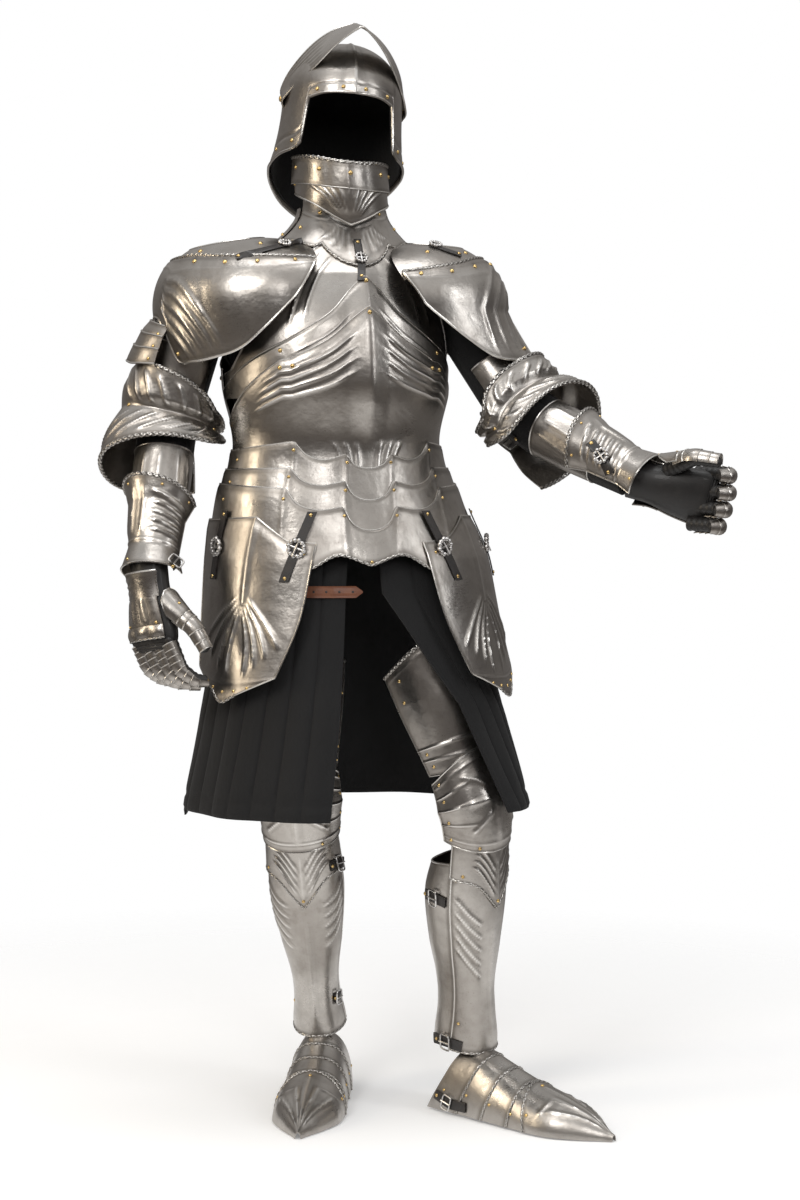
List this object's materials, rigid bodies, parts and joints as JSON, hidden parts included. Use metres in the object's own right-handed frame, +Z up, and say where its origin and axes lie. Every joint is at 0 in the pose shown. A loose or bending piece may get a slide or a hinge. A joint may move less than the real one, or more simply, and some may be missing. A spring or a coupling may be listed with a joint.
{
  "type": "suit of plate armour",
  "caption": "Suit of plate armour in a standing pose: fluted plates with scalloped lames, open helmet with raised visor, over a quilted coat.",
  "frame": {"origin": "in the middle between the shoulders, where the worn suit hangs, 1.47 m above the ground on which the shoes stand", "axes": "+Z up, -Y the side that the picture shows, +X toward the suit's own left"},
  "size_m": [1.0403, 0.5072, 1.857],
  "materials": {
    "polished_steel": "satin polish, warm grey, darker in the recesses",
    "quilted_cloth": "matt black, quilted in narrow channels",
    "black_leather": "satin black",
    "brown_leather": "satin russet brown"
  },
  "bodies": {
    "suit": {"backplate": "polished_steel", "belt": "brown_leather", "bevor_band": "polished_steel", "bevor_bowl": "polished_steel", "breast_middle": "polished_steel", "breast_upper": "polished_steel", "coat_back": "quilted_cloth", "coat_front_left": "quilted_cloth", "coat_front_right": "quilted_cloth", "couter_left": "polished_steel", "couter_right": "polished_steel", "cuisse_left": "polished_steel", "cuisse_right": "polished_steel", "culet": "polished_steel", "fauld_1": "polished_steel", "fauld_2": "polished_steel", "fauld_3": "polished_steel", "gauntlet_cuff_left": "polished_steel", "gauntlet_cuff_right": "polished_steel", "glove_left": "black_leather", "glove_right": "black_leather", "gorget_back": "polished_steel", "gorget_front": "polished_steel", "greave_back_left": "polished_steel", "greave_back_right": "polished_steel", "greave_front_left": "polished_steel", "greave_front_right": "polished_steel", "hand_plate_left": "polished_steel", "hand_plate_right": "polished_steel", "knee_lame_left": "polished_steel", "knee_lame_right": "polished_steel", "pauldron_lames_right": "polished_steel", "pauldron_left": "polished_steel", "pauldron_right": "polished_steel", "pauldron_top_left": "polished_steel", "pauldron_top_right": "polished_steel", "plackart": "polished_steel", "poleyn_left": "polished_steel", "poleyn_right": "polished_steel", "rerebrace_left": "polished_steel", "rerebrace_right": "polished_steel", "sabaton_lames_left": "polished_steel", "sabaton_lames_right": "polished_steel", "sabaton_toe_left": "polished_steel", "sabaton_toe_right": "polished_steel", "sallet_lining": "quilted_cloth", "sallet_skull": "polished_steel", "sleeve_left": "quilted_cloth", "sleeve_right": "quilted_cloth", "tasset_left": "polished_steel", "tasset_right": "polished_steel", "tasset_strap_inner_left": "black_leather", "tasset_strap_inner_right": "black_leather", "tasset_strap_outer_left": "black_leather", "tasset_strap_outer_right": "black_leather", "thumb_plates_left": "polished_steel", "thumb_plates_right": "polished_steel", "vambrace_left": "polished_steel", "vambrace_right": "polished_steel"},
    "visor": {"visor": "polished_steel"}
  },
  "joints": [
    {"name": "visor_hinge", "type": "hinge", "parent": "suit", "child": "visor", "pos_m": [0.008, 0, 0.265], "axis": [0.9779, 0.1908, -0.0856], "range_deg": [0, 50]}
  ]
}
